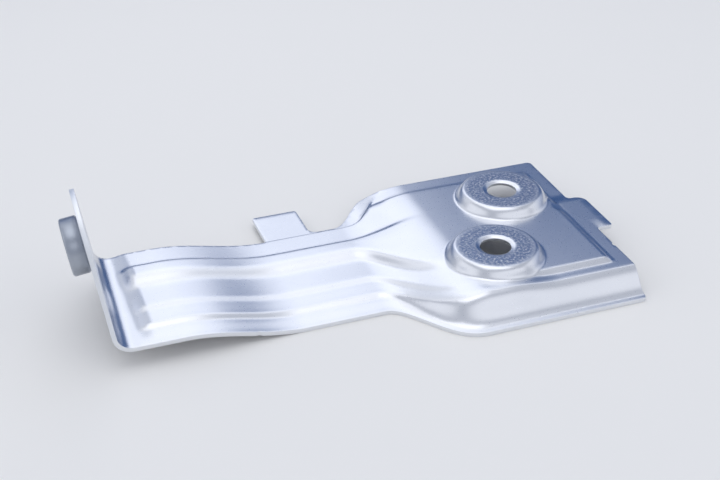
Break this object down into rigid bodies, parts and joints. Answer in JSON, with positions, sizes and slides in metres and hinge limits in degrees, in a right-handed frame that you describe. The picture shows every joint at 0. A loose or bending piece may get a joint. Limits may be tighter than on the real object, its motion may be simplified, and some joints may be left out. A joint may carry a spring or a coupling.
{
  "type": "stamped bracket",
  "caption": "Pressed sheet-steel bracket with raised bolt seats, a beaded arm and an upturned round-topped end carrying a welded nut.",
  "frame": {"origin": "midway between the two bolt holes, on the plane of their raised seats", "axes": "+X from the upturned end towards the bolted plate, +Y towards the rear tab, +Z along the bolt holes, out of the seats"},
  "size_m": [0.1593, 0.079, 0.0425],
  "materials": {
    "zinc_sheet": "bright zinc plating over cold-rolled sheet steel, satin, scuffed on the bolt seats",
    "zinc_nut": "bright zinc plating over turned steel, satin"
  },
  "bodies": {
    "root": {"bracket": "zinc_sheet", "weld_nut": "zinc_nut"}
  },
  "joints": []
}
